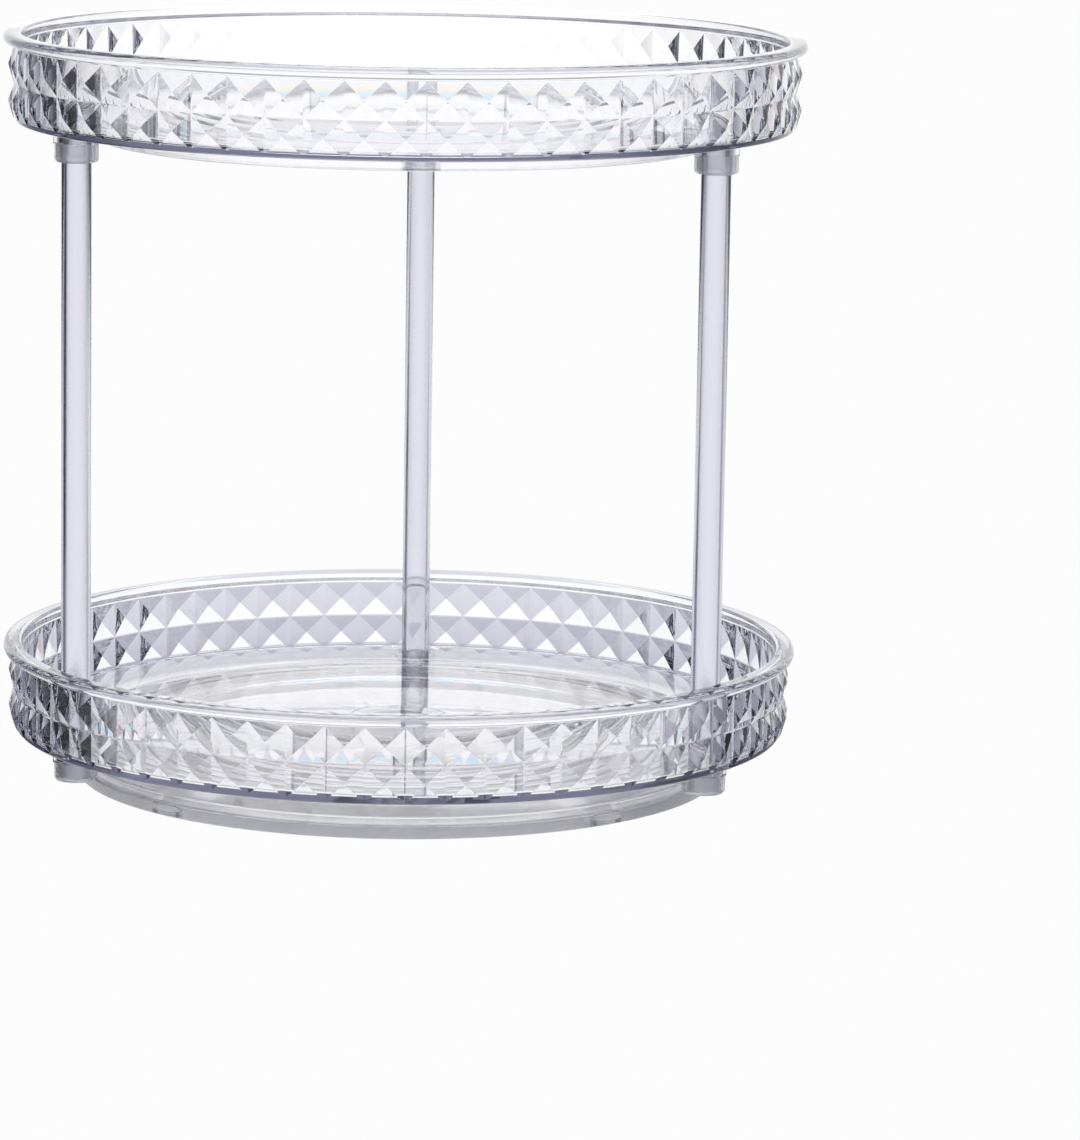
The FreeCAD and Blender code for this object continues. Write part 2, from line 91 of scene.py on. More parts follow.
def set_stops(ramp, stops):
    """Sets a colour ramp's stops, as (place, colour)."""
    while len(ramp.elements) > 1:
        ramp.elements.remove(ramp.elements[-1])
    ramp.elements[0].position = stops[0][0]
    ramp.elements[0].color = stops[0][1]
    for place, colour in stops[1:]:
        ramp.elements.new(place).color = colour


class Finish:
    """A material, or the world, whose nodes are added one call at a time."""

    def __init__(self, name, owner=None):
        self.owner = owner or bpy.data.materials.new(name)
        self.owner.use_nodes = True
        self.tree = self.owner.node_tree
        self.tree.nodes.clear()

    def node(self, kind, settings=(), inputs=(), output=0):
        """Adds a node: its settings first, then the values or links of its sockets."""
        made = self.tree.nodes.new(kind)
        for name, value in dict(settings).items():
            if name == "stops":
                set_stops(made.color_ramp, value)
            else:
                setattr(made, name, value)
        for name, value in dict(inputs).items():
            if isinstance(value, Tap):
                self.tree.links.new(value.socket, made.inputs[name])
            else:
                made.inputs[name].default_value = value
        return Tap(self, made.outputs[output]) if len(made.outputs) else made

    def place(self):
        return self.node("ShaderNodeTexCoord", output="Object")

    def noise(self, scale, detail=2.0):
        return self.node("ShaderNodeTexNoise", {}, {
            "Vector": self.place(), "Scale": scale, "Detail": detail})

    def blend(self, amount, low, high, way="MIX"):
        """Two colours blended in that way, by an amount from 0 to 1."""
        return self.node("ShaderNodeMix", {"data_type": "RGBA", "blend_type": way},
                         {0: amount, 6: low, 7: high}, output=2)

    def stretch(self, value, low, high):
        """A value's place between two, from 0 to 1."""
        return self.node("ShaderNodeMapRange", {}, {0: value, 1: low, 2: high})

    def output(self, surface, volume=None):
        ends = {"Surface": surface}
        if volume:
            ends["Volume"] = volume
        self.node("ShaderNodeOutputMaterial", {}, ends)
        return self.owner


PLASTIC_IOR = 1.57
CLEAR_TINT = (0.99, 0.99, 0.997, 1)
CLOUDED_TINT = (0.975, 0.975, 0.988, 1)
DEPTH_TINT = (0.35, 0.355, 0.51, 1)
WAVES_PER_METRE = 55.0
SCUFFS_PER_METRE = 900.0
CLOUDS_PER_METRE = 18.0
SCUFF_HEIGHT = 0.002
SCUFF_DULLNESS = 1.5
POLISHED = 0.012


def clear_plastic(name, waves, depth_density, dullness=POLISHED, tint=CLEAR_TINT, clarity=1.0):
    """Clear plastic. waves is the height of the mould's waves, in metres. A clarity below 1 leaves
    some milk in it."""
    made = Finish(name)
    cloud = made.noise(CLOUDS_PER_METRE)
    scuffs = made.noise(SCUFFS_PER_METRE, detail=4.0)
    wave_height = made.noise(WAVES_PER_METRE)
    bump = made.node("ShaderNodeBump", {}, {
        "Strength": 1.0, "Distance": waves, "Height": wave_height + scuffs * SCUFF_HEIGHT})
    surface = made.node("ShaderNodeBsdfPrincipled", {}, {
        "Base Color": made.blend(cloud, tint, CLOUDED_TINT),
        "Roughness": dullness + scuffs * (dullness * SCUFF_DULLNESS),
        "Transmission Weight": clarity,
        "IOR": PLASTIC_IOR,
        "Normal": bump,
    })
    depth = made.node("ShaderNodeVolumeAbsorption", {}, {"Color": DEPTH_TINT, "Density": depth_density})
    return made.output(surface, depth)


# ------------------------------------------------------------------------------------------------
# Upper tray. One injection moulding: a flat floor, a wall whose outside is two rows of square
# four-sided points, a rolled rim, a skirt below, and three bosses with spigots for the posts.
def open_primitive(kind, **place):
    """Adds a primitive with nothing else selected, and opens it in edit mode."""
    if bpy.context.object and bpy.context.object.mode == "EDIT":
        bpy.ops.object.mode_set(mode="OBJECT")
    bpy.ops.object.select_all(action="DESELECT")
    getattr(bpy.ops.mesh, f"primitive_{kind}_add")(**place)
    bpy.ops.object.mode_set(mode="EDIT")
    return bpy.context.object


def pick(kind, wanted):
    """Selects what passes a test, of the open piece's VERT, EDGE or FACE elements."""
    bpy.ops.mesh.select_mode(type=kind)
    bpy.ops.mesh.select_all(action="DESELECT")
    data = bpy.context.edit_object.data
    shape = bmesh.from_edit_mesh(data)
    items = {"VERT": shape.verts, "EDGE": shape.edges, "FACE": shape.faces}[kind]
    for item in items:
        if wanted(item):
            item.select_set(True)
    shape.select_flush_mode()
    bmesh.update_edit_mesh(data)


def arc(radius, height, size, start, end, steps=6):
    """Rings of a round of that size about (radius, height), from one angle to another in degrees."""
    turns = [math.radians(start + (end - start) * k / steps) for k in range(steps + 1)]
    return [(radius + size * math.cos(t), height + size * math.sin(t)) for t in turns]


def turn(rings, sides=256, at=(0.0, 0.0)):
    """Opens a piece turned about a vertical axis: a ring is drawn out from (radius, height) to
    (radius, height). A radius of 0 at an end closes it there, and a last ring like the first closes
    the section."""
    first = rings[1] if rings[0][0] == 0 else rings[0]
    fill = "TRIFAN" if rings[0][0] == 0 else "NOTHING"
    piece = open_primitive("circle", vertices=sides, radius=first[0], fill_type=fill,
                           location=(at[0], at[1], first[1]))
    pick("EDGE", lambda edge: edge.is_boundary or edge.is_wire)
    radius, height = first
    for next_radius, next_height in rings[rings.index(first) + 1:]:
        rise = {"value": (0, 0, next_height - height)}
        bpy.ops.mesh.extrude_region_move(TRANSFORM_OT_translate=rise)
        if next_radius == 0:
            bpy.ops.mesh.merge(type="CENTER")
            break
        growth = next_radius / radius
        bpy.ops.transform.resize(value=(growth, growth, 1), center_override=(at[0], at[1], next_height))
        radius, height = next_radius, next_height
    if rings[0] == rings[-1]:
        bpy.ops.mesh.select_all(action="SELECT")
        bpy.ops.mesh.remove_doubles(threshold=1e-7)
    return piece


SHARP_FROM = math.radians(35)


def close_piece(name, smooth=True):
    """Turns the open piece's faces outwards and leaves edit mode."""
    bpy.ops.mesh.select_mode(type="VERT")
    bpy.ops.mesh.select_all(action="SELECT")
    bpy.ops.mesh.normals_make_consistent(inside=False)
    bpy.ops.object.mode_set(mode="OBJECT")
    piece = bpy.context.object
    piece.name = name
    piece.data.name = name
    bpy.ops.object.transform_apply(location=True, rotation=True, scale=True)
    if smooth:
        bpy.ops.object.shade_smooth_by_angle(angle=SHARP_FROM)
    return piece


def spin(piece, degrees):
    """Turns the active piece about the turntable's axis."""
    bpy.ops.object.transform_apply(location=True, rotation=False, scale=False)
    piece.rotation_euler.z = math.radians(degrees)
    bpy.ops.object.transform_apply(location=False, rotation=True, scale=False)


def select(*pieces):
    """Selects pieces and nothing else. The first is the active one."""
    bpy.ops.object.select_all(action="DESELECT")
    for piece in pieces:
        piece.select_set(True)
    bpy.context.view_layer.objects.active = pieces[0]


def join(pieces):
    """Joins pieces into the first one."""
    select(*pieces)
    bpy.ops.object.join()
    return pieces[0]


def cut_or_weld(piece, tool, operation):
    """Cuts a tool shape out of a piece, or welds it on, and throws the tool away."""
    select(piece)
    step = piece.modifiers.new(operation, "BOOLEAN")
    step.operation = operation
    step.solver = "EXACT"
    step.object = tool
    bpy.ops.object.modifier_apply(modifier=step.name)
    bpy.data.objects.remove(tool)
    return piece


def fit(piece, body, slot, finish, *nodes):
    """Marks the edges that cutting and welding made as sharp, gives a piece its finish, and puts it
    in place of its CAD nodes on their body."""
    select(piece)
    bpy.ops.object.mode_set(mode="EDIT")
    pick("EDGE", lambda edge: edge.calc_face_angle(0) > SHARP_FROM)
    bpy.ops.mesh.mark_sharp()
    bpy.ops.object.mode_set(mode="OBJECT")
    if not piece.data.materials:
        piece.data.materials.append(finish)
    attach(piece, body)
    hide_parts(*nodes)


rim_radius = min(-cad_low.x, -cad_low.y, cad_high.x, cad_high.y)
rim_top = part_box("upper_tray")[1].z
TRAY_HEIGHT = 26.0 * mm
TIP_INSET = 1.5 * mm
NECK_INSET = 0.5 * mm
NECK_HEIGHT = 0.6 * mm
WALL_THICKNESS = 2.4 * mm
WALL_DRAFT = 1.2 * mm
upper_floor_z = rim_top - TRAY_HEIGHT
tier_pitch = rim_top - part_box("lower_tray")[1].z
lower_floor_z = upper_floor_z - tier_pitch

FLOOR = 2.2 * mm
BEAD = 3.3 * mm
FACETS_ROUND = 64
FACET_ROW = 10.65 * mm
FACET_HEIGHT = 1.6 * mm
WALL_FOOT = 1.6 * mm
FOOT_ROUND = 0.7 * mm
bead_r = BEAD / 2
tip_radius = rim_radius - TIP_INSET
flat_radius = tip_radius - FACET_HEIGHT
corner_radius = flat_radius / math.cos(math.pi / FACETS_ROUND)
neck_radius = flat_radius - NECK_INSET
inner_top = flat_radius - WALL_THICKNESS
inner_foot = inner_top - WALL_DRAFT
band_top = TRAY_HEIGHT - BEAD - NECK_HEIGHT
SKIRT_RADIUS = 90.0 * mm
SKIRT_WALL = 2.0 * mm
SKIRT_DEPTH = 5.0 * mm
FOOT_FILLET = 0.4 * mm
NECK_FILLET = 0.2 * mm
INNER_ROUND = 1.2 * mm
PLAIN_FLOOR_RADIUS = 60.0 * mm


def lift(rings, z):
    """The same rings, higher by z."""
    return [(radius, height + z) for radius, height in rings]


def underside(z, inner_rings):
    """Rings from the foot of the facets, round the wall's foot, past the skirt and inwards."""
    skirt_in = SKIRT_RADIUS - SKIRT_WALL
    rings = [(neck_radius, WALL_FOOT)] + arc(neck_radius - FOOT_ROUND, FOOT_ROUND, FOOT_ROUND, 0, -90)
    rings += arc(SKIRT_RADIUS + FOOT_FILLET, -FOOT_FILLET, FOOT_FILLET, 90, 180, 3)
    rings += arc(SKIRT_RADIUS - FOOT_FILLET, FOOT_FILLET - SKIRT_DEPTH, FOOT_FILLET, 0, -90, 3)
    rings += arc(skirt_in + FOOT_FILLET, FOOT_FILLET - SKIRT_DEPTH, FOOT_FILLET, -90, -180, 3)
    rings += arc(skirt_in - FOOT_FILLET, -FOOT_FILLET, FOOT_FILLET, 0, 90, 3)
    return lift(rings + inner_rings, z)


def inside(z, inner_rings):
    """Rings from the middle of the floor, up the inner wall and over the rim to the facets."""
    rings = inner_rings + arc(inner_foot - INNER_ROUND, FLOOR + INNER_ROUND, INNER_ROUND, -90, 0)
    rings += arc(inner_top + INNER_ROUND, TRAY_HEIGHT - INNER_ROUND, INNER_ROUND, 180, 90)
    rings += arc(rim_radius - bead_r, TRAY_HEIGHT - bead_r, bead_r, 90, -90, 14)
    rings += arc(neck_radius + NECK_FILLET, TRAY_HEIGHT - BEAD - NECK_FILLET, NECK_FILLET, 90, 180, 2)
    rings.append((neck_radius, band_top))
    return lift(rings, z)


VALLEY_BEVEL = 0.24 * mm
RIDGE_BEVEL = 0.07 * mm
tray_plastic = clear_plastic("clear tray plastic", 0.02 * mm, 14.0)


def facet_band(z, degrees):
    """The two rows of four-sided points, open above and below."""
    low = band_top - 2 * FACET_ROW
    band = open_primitive("cylinder", vertices=FACETS_ROUND, radius=corner_radius, depth=2 * FACET_ROW,
                          end_fill_type="NOTHING", location=(0, 0, z + low + FACET_ROW))
    band.data.materials.append(tray_plastic)
    bpy.ops.mesh.select_all(action="SELECT")
    bpy.ops.mesh.bisect(plane_co=(0, 0, z + low + FACET_ROW), plane_no=(0, 0, 1))
    bpy.ops.mesh.select_all(action="SELECT")
    bpy.ops.mesh.poke(offset=FACET_HEIGHT)
    half_way = (corner_radius + tip_radius) / 2

    def ridge(edge):
        return any(vert.co.xy.length > half_way for vert in edge.verts)

    pick("EDGE", lambda edge: not edge.is_boundary and not ridge(edge))
    bpy.ops.mesh.bevel(offset=VALLEY_BEVEL, segments=1, affect="EDGES")
    pick("EDGE", ridge)
    bpy.ops.mesh.bevel(offset=RIDGE_BEVEL, segments=1, affect="EDGES")
    bpy.ops.mesh.select_all(action="SELECT")
    bpy.ops.mesh.bisect(plane_co=(0, 0, z + WALL_FOOT), plane_no=(0, 0, 1), clear_inner=True)
    bpy.ops.object.mode_set(mode="OBJECT")
    spin(band, degrees)
    bpy.ops.object.shade_flat()
    return band


LEDGE_NEAR = 0.01 * mm
LEDGE_WIDTH = 1.0 * mm


def bridge_rings(height):
    """Fills the flat ledge between the facets and the plain wall at that height."""
    def on_ledge(edge):
        level = all(abs(vert.co.z - height) < LEDGE_NEAR for vert in edge.verts)
        outside = all(vert.co.xy.length > neck_radius - LEDGE_WIDTH for vert in edge.verts)
        return level and outside and edge.is_boundary

    pick("EDGE", on_ledge)
    bpy.ops.mesh.bridge_edge_loops()


POST_CIRCLE = 105.0 * mm
POST_RADIUS = 4.3 * mm
POST_GAP = 0.08 * mm
BOSS_RADIUS = 6.1 * mm
BOSS_PAD_RADIUS = 5.6 * mm
BOSS_PAD_SHIFT = 1.2 * mm
BOSS_DEPTH = 2.4 * mm
SPIGOT_RADIUS = 5.0 * mm
SPIGOT_DEPTH = 4.2 * mm
posts = {side: (POST_CIRCLE * math.cos(math.radians(turned)),
                POST_CIRCLE * math.sin(math.radians(turned)))
         for side, turned in (("back", 90), ("right", -30), ("left", 210))}
boss_pad_out = (POST_CIRCLE + BOSS_PAD_SHIFT) / POST_CIRCLE


def rod(radius, low, high, at):
    """A plain round bar, to weld on or to cut with."""
    open_primitive("cylinder", vertices=64, radius=radius, depth=high - low,
                   location=(at[0], at[1], (low + high) / 2))
    return close_piece("tool")


def tray(name, z, degrees, under_rings, floor_rings, socket_top):
    """Turned shell, facet band, bosses and sockets, welded into one moulding."""
    turn(underside(z, under_rings))
    below = close_piece(name)
    below.data.materials.append(tray_plastic)
    turn(inside(z, floor_rings))
    above = close_piece(name + "_above")
    above.data.materials.append(tray_plastic)
    moulding = join([below, above, facet_band(z, degrees)])
    bpy.ops.object.mode_set(mode="EDIT")
    bridge_rings(z + band_top)
    bridge_rings(z + WALL_FOOT)
    if under_rings[-1][0] > 0:
        bpy.ops.mesh.select_all(action="SELECT")
        bpy.ops.mesh.remove_doubles(threshold=1e-6)
    bpy.ops.mesh.select_all(action="SELECT")
    bpy.ops.mesh.normals_make_consistent(inside=False)
    bpy.ops.object.mode_set(mode="OBJECT")
    spigot_end = z - BOSS_DEPTH - SPIGOT_DEPTH
    for x, y in posts.values():
        boss = rod(BOSS_RADIUS, z - BOSS_DEPTH, z + FLOOR / 2, (x, y))
        pad_at = (x * boss_pad_out, y * boss_pad_out)
        pad = rod(BOSS_PAD_RADIUS, z - BOSS_DEPTH, z + FLOOR / 2, pad_at)
        spigot = rod(SPIGOT_RADIUS, spigot_end, z, (x, y))
        cut_or_weld(boss, pad, "UNION")
        cut_or_weld(boss, spigot, "UNION")
        cut_or_weld(moulding, boss, "UNION")
        socket = rod(POST_RADIUS + POST_GAP, spigot_end - FLOOR, z + socket_top, (x, y))
        cut_or_weld(moulding, socket, "DIFFERENCE")
    moulding.name = name
    return moulding


SOCKET_TOP = 0.6 * mm
upper_tray = tray("upper_tray_moulding", upper_floor_z, 0.0,
                  [(0, 0)], [(0, FLOOR), (PLAIN_FLOOR_RADIUS, FLOOR)], SOCKET_TOP)
fit(upper_tray, "carousel", "clear_tray", tray_plastic, "upper_tray")


# ------------------------------------------------------------------------------------------------
# Lower tray. The same moulding one post further round, with holes right through for the posts, a
# hub that turns on the base's pivot, and a grooved track below for the balls.
BALL_RADIUS = 2.5 * mm
BALL_GROOVE = 2.7 * mm
RACE_RADIUS = 79.0 * mm
RACE_WIDTH = 7.0 * mm
RACE_SPLIT = 1.2 * mm
HUB_RADIUS = 15.0 * mm
HUB_RECESS = 12.5 * mm
HUB_SINK = 3.2 * mm
HUB_FLOOR = 2.0 * mm
PIVOT_RADIUS = 6.0 * mm
PIVOT_GAP = 0.08 * mm
CAP_RADIUS = 14.5 * mm
CAP_GAP = 0.1 * mm
CAP_THICKNESS = 0.9 * mm
ball_z = (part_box("bearing_balls")[0].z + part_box("bearing_balls")[1].z) / 2
ball_rise = ball_z - lower_floor_z
groove_lean = math.degrees(math.asin(RACE_SPLIT / BALL_GROOVE))
hub_top = FLOOR - HUB_SINK
cap_seat = FLOOR - CAP_THICKNESS
cap_bore = CAP_RADIUS + CAP_GAP
race_face = ball_rise + RACE_SPLIT
race_in = RACE_RADIUS - RACE_WIDTH / 2
race_out = RACE_RADIUS + RACE_WIDTH / 2
bore = PIVOT_RADIUS + PIVOT_GAP
hub_under = [(race_out, 0), (race_out, race_face)]
hub_under += arc(RACE_RADIUS, ball_rise, BALL_GROOVE, groove_lean, 180 - groove_lean, 10)
hub_under += [(race_in, race_face), (race_in, 0), (HUB_RADIUS, 0), (HUB_RADIUS, hub_top - HUB_FLOOR),
              (bore, hub_top - HUB_FLOOR), (bore, hub_top)]
hub_over = [(bore, hub_top), (HUB_RECESS, hub_top), (HUB_RECESS, cap_seat), (cap_bore, cap_seat),
            (cap_bore, FLOOR), (PLAIN_FLOOR_RADIUS, FLOOR)]
right_through = FLOOR * 2
lower_tray = tray("lower_tray_moulding", lower_floor_z, -120.0, hub_under, hub_over, right_through)
fit(lower_tray, "carousel", "clear_tray", tray_plastic, "lower_tray")


# ------------------------------------------------------------------------------------------------
# Centre cap. A small clear disc, flush with the lower tray's floor, that clips into the hub's
# recess by the ring below it and hides the pivot.
cap_ring = HUB_RECESS - CAP_GAP
CAP_RING_WALL = 0.9 * mm
CAP_RING_DEPTH = 1.0 * mm
EDGE_ROUND = 0.2 * mm
turn(lift([(0, FLOOR)] + arc(CAP_RADIUS - EDGE_ROUND, FLOOR - EDGE_ROUND, EDGE_ROUND, 90, 0, 3)
          + [(CAP_RADIUS, cap_seat), (cap_ring, cap_seat), (cap_ring, cap_seat - CAP_RING_DEPTH),
             (cap_ring - CAP_RING_WALL, cap_seat - CAP_RING_DEPTH), (cap_ring - CAP_RING_WALL, cap_seat),
             (0, cap_seat)], lower_floor_z), sides=128)
centre_cap = close_piece("centre_cap_disc")
fit(centre_cap, "carousel", "clear_tray", tray_plastic, "centre_cap")


# ------------------------------------------------------------------------------------------------
# Posts. Three clear drawn tubes that stand in the upper tray's sockets and pass through the lower
# tray's floor.
POST_WALL = 1.2 * mm
POST_END_ROUND = 0.2 * mm
post_plastic = clear_plastic("clear post plastic", 0.01 * mm, 200.0, dullness=0.05)


def tube(outer, inner, low, high, at, sides):
    """Opens a round tube with softened ends."""
    soft = POST_END_ROUND
    rings = [(outer, low + soft), (outer, high - soft)]
    rings += arc(outer - soft, high - soft, soft, 0, 90, 3)
    rings += arc(inner + soft, high - soft, soft, 90, 180, 3)
    rings += arc(inner + soft, low + soft, soft, 180, 270, 3)
    rings += arc(outer - soft, low + soft, soft, 270, 360, 3)
    rings.append(rings[0])
    return turn(rings, sides, at)


for side, (x, y) in posts.items():
    post_low, post_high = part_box(f"post_{side}")
    tube(POST_RADIUS, POST_RADIUS - POST_WALL, post_low.z, post_high.z, (x, y), 96)
    post = close_piece(f"post_tube_{side}")
    fit(post, "carousel", "clear_post", post_plastic, f"post_{side}")


# ------------------------------------------------------------------------------------------------
# Nuts. Under the upper tray a twelve-sided collar grips each post, and under the lower tray a
# closed foot cap of the same outside plugs its end. Both screw onto the trays' spigots.
NUT_SIDES = 12
NUT_FLAT_RADIUS = 6.15 * mm
NUT_CHAMFER = 1.1 * mm
NUT_EDGE = 0.25 * mm
NUT_LIP = 1.2 * mm
NUT_BORE = SPIGOT_RADIUS + 0.1 * mm
NUT_CORNER_FROM = math.radians(20)
NUT_CORNER_HEIGHT = 0.2 * mm
FOOT_PART = 0.4
STUB_GAP = 0.05 * mm
NUT_TINT = (0.91, 0.92, 0.98, 1)
nut_plastic = clear_plastic("clear nut plastic", 0.01 * mm, 10.0, dullness=0.12, tint=NUT_TINT,
                            clarity=0.88)


def nut(name, low, high, at):
    """Many-sided blank with a rounded foot and softened corners, bored out above its lip."""
    corner_at = NUT_FLAT_RADIUS / math.cos(math.pi / NUT_SIDES)
    open_primitive("cylinder", vertices=NUT_SIDES, radius=corner_at, depth=high - low,
                   location=(at[0], at[1], (low + high) / 2))

    def foot(edge):
        return all(vert.co.z < FOOT_PART * (low - high) for vert in edge.verts)

    def corner(edge):
        upright = abs(edge.verts[0].co.z - edge.verts[1].co.z) > NUT_CORNER_HEIGHT
        return upright and edge.calc_face_angle(0) > NUT_CORNER_FROM

    pick("EDGE", foot)
    bpy.ops.mesh.bevel(offset=NUT_CHAMFER, segments=3, affect="EDGES")
    pick("EDGE", corner)
    bpy.ops.mesh.bevel(offset=NUT_EDGE, segments=2, affect="EDGES")
    blank = close_piece(name)
    return cut_or_weld(blank, rod(NUT_BORE, low + NUT_LIP, high + NUT_LIP, at), "DIFFERENCE")


for side, (x, y) in posts.items():
    nut_low, nut_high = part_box(f"upper_collar_{side}")
    collar = nut(f"collar_nut_{side}", nut_low.z, nut_high.z, (x, y))
    bore_tool = rod(POST_RADIUS + POST_GAP, nut_low.z - NUT_LIP, nut_high.z, (x, y))
    cut_or_weld(collar, bore_tool, "DIFFERENCE")
    fit(collar, "carousel", "clear_nut", nut_plastic, f"upper_collar_{side}")
    cap_low, cap_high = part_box(f"foot_cap_{side}")
    foot = nut(f"foot_nut_{side}", cap_low.z, cap_low.z + nut_high.z - nut_low.z, (x, y))
    stub = rod(POST_RADIUS - POST_WALL - STUB_GAP, cap_low.z + NUT_LIP / 2, cap_high.z, (x, y))
    cut_or_weld(foot, stub, "UNION")
    fit(foot, "carousel", "clear_nut", nut_plastic, f"foot_cap_{side}")


# ------------------------------------------------------------------------------------------------
# Base. One clear moulding that stays still: a wide flange, a stepped drum round the tray's skirt,
# a floor plate with swirled ribs, a grooved track for the balls, and the hollow pivot.
PLATE = 2.4 * mm
FLANGE_RADIUS = 95.5 * mm
FLANGE_HEIGHT = 3.8 * mm
FLANGE_ROUND = 0.8 * mm
STEP_RADIUS = 93.6 * mm
STEP_HEIGHT = 1.9 * mm
DRUM_IN = 90.7 * mm
DRUM_WALL = 1.6 * mm
DRUM_TOP_GAP = 2.0 * mm
PIN_RADIUS = 2.55 * mm
PIN_GAP = 0.05 * mm
PIN_LENGTH = 8.0 * mm
PIN_END_GAP = 0.5 * mm
WASHER = 0.8 * mm
RIB_WIDTH = 1.8 * mm
RIB_HEIGHT = 1.5 * mm
RIB_FIRST = 5.0 * mm
RIB_PITCH = 16.6 * mm
RIB_TURN = 14.0
RIB_SINK = 1.0 * mm
RIB_STEP = 0.05 * mm
RING_TURN = 0.7
HUB_RING_RADIUS = 28.0 * mm
PAD_RADIUS = 5.0 * mm
PAD_POCKET_GAP = 0.1 * mm
base_plastic = clear_plastic("clear base plastic", 0.02 * mm, 2.8, dullness=0.08)

base_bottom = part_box("base_plate")[0].z
plate_top = base_bottom + PLATE
pivot_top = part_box("base_plate")[1].z
flange_top = base_bottom + FLANGE_HEIGHT
step_top = flange_top + STEP_HEIGHT
drum_out = DRUM_IN + DRUM_WALL
drum_top = lower_floor_z - DRUM_TOP_GAP
track_face = ball_z - RACE_SPLIT
pin_bore = PIN_RADIUS + PIN_GAP
pin_bore_end = pivot_top + WASHER - PIN_LENGTH - PIN_END_GAP
SOFT = 0.3 * mm

rings = [(0, base_bottom)]
rings += arc(FLANGE_RADIUS - SOFT, base_bottom + SOFT, SOFT, -90, 0, 3)
rings += arc(FLANGE_RADIUS - FLANGE_ROUND, flange_top - FLANGE_ROUND, FLANGE_ROUND, 0, 90)
rings += [(STEP_RADIUS, flange_top)] + arc(STEP_RADIUS - SOFT, step_top - SOFT, SOFT, 0, 90, 3)
rings += [(drum_out, step_top)] + arc(drum_out - SOFT, drum_top - SOFT, SOFT, 0, 90, 3)
rings += [(DRUM_IN, drum_top), (DRUM_IN, plate_top), (race_out, plate_top), (race_out, track_face)]
rings += arc(RACE_RADIUS, ball_z, BALL_GROOVE, -groove_lean, groove_lean - 180, 10)
rings += [(race_in, track_face), (race_in, plate_top), (PIVOT_RADIUS, plate_top),
          (PIVOT_RADIUS, pivot_top), (pin_bore, pivot_top), (pin_bore, pin_bore_end), (0, pin_bore_end)]
turn(rings)
base = close_piece("base_moulding")

# The ring stands a hair prouder than the ribs, and is turned off the edges of the plate's faces, so
# that no faces or corners coincide where they are welded.
rib_low = base_bottom + PLATE / 2
rib_high = plate_top + RIB_HEIGHT
ring_in = HUB_RING_RADIUS - RIB_WIDTH / 2
ring_out = HUB_RING_RADIUS + RIB_WIDTH / 2
ring_low = rib_low - RIB_STEP
ring_high = rib_high + RIB_STEP
turn([(ring_out, ring_low), (ring_out, ring_high), (ring_in, ring_high), (ring_in, ring_low),
      (ring_out, ring_low)], sides=128)
ribs = close_piece("ribs")
spin(ribs, RING_TURN)
rib_count = int((race_in - RIB_FIRST) / RIB_PITCH) + 1
for k in range(rib_count):
    offset = RIB_FIRST + k * RIB_PITCH
    start = math.sqrt(max(HUB_RING_RADIUS ** 2 - offset ** 2, 0))
    end = math.sqrt(race_in ** 2 - offset ** 2) + RIB_SINK
    for quarter in range(4):
        open_primitive("cube", size=1, location=(offset, (start + end) / 2, (rib_low + rib_high) / 2),
                       scale=(RIB_WIDTH, end - start, rib_high - rib_low))
        bar = close_piece("rib", smooth=False)
        spin(bar, RIB_TURN + 90.0 * quarter)
        cut_or_weld(ribs, bar, "UNION")
cut_or_weld(base, ribs, "UNION")
pads = {}
for number in range(1, 5):
    pad_low, pad_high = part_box(f"base_pad_{number}")
    pad_middle = (pad_low + pad_high) / 2
    pads[number] = (pad_middle.x, pad_middle.y, pad_low.z, pad_high.z)
for x, y, low, high in pads.values():
    cut_or_weld(base, rod(PAD_RADIUS + PAD_POCKET_GAP, low - PLATE, high, (x, y)), "DIFFERENCE")
fit(base, "base", "clear_base", base_plastic, "base_plate")


# ------------------------------------------------------------------------------------------------
# Ball race. Twelve polished steel balls in a thin natural-plastic cage run between the two tracks.
CAGE_WIDTH = 8.4 * mm
CAGE_GAP = 0.15 * mm
BALL_COUNT = 12
cage_low, cage_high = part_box("ball_cage")
cage_in = RACE_RADIUS - CAGE_WIDTH / 2
cage_out = RACE_RADIUS + CAGE_WIDTH / 2
turn([(cage_out, cage_low.z), (cage_out, cage_high.z), (cage_in, cage_high.z), (cage_in, cage_low.z),
      (cage_out, cage_low.z)], sides=192)
cage = close_piece("ball_cage_ring")
balls = []
for k in range(BALL_COUNT):
    turned = math.radians(360.0 * (k + 0.5) / BALL_COUNT)
    place = (RACE_RADIUS * math.cos(turned), RACE_RADIUS * math.sin(turned))
    hole = rod(BALL_RADIUS + CAGE_GAP, cage_low.z - PLATE, cage_high.z + PLATE, place)
    cut_or_weld(cage, hole, "DIFFERENCE")
    open_primitive("uv_sphere", segments=32, ring_count=20, radius=BALL_RADIUS,
                   location=(*place, ball_z))
    balls.append(close_piece("ball"))
balls = join(balls)
balls.name = "race_balls"

natural = Finish("natural cage plastic")
natural_grain = natural.noise(400.0, detail=3.0)
cage_plastic = natural.output(natural.node("ShaderNodeBsdfPrincipled", {}, {
    "Base Color": natural.blend(natural_grain, (0.90, 0.91, 0.94, 1), (0.96, 0.96, 0.98, 1)),
    "Roughness": 0.25 + natural_grain * 0.2,
    "Transmission Weight": 0.8,
    "IOR": 1.5,
}))
steel = Finish("polished ball steel")
steel_marks = steel.noise(1500.0, detail=3.0)
ball_steel = steel.output(steel.node("ShaderNodeBsdfPrincipled", {}, {
    "Base Color": steel.blend(steel_marks, (0.76, 0.77, 0.80, 1), (0.86, 0.87, 0.89, 1)),
    "Metallic": 1.0,
    "Roughness": 0.06 + steel_marks * 0.1,
}))
fit(cage, "cage", "cage_plastic", cage_plastic, "ball_cage")
fit(balls, "cage", "bearing_steel", ball_steel, "bearing_balls")


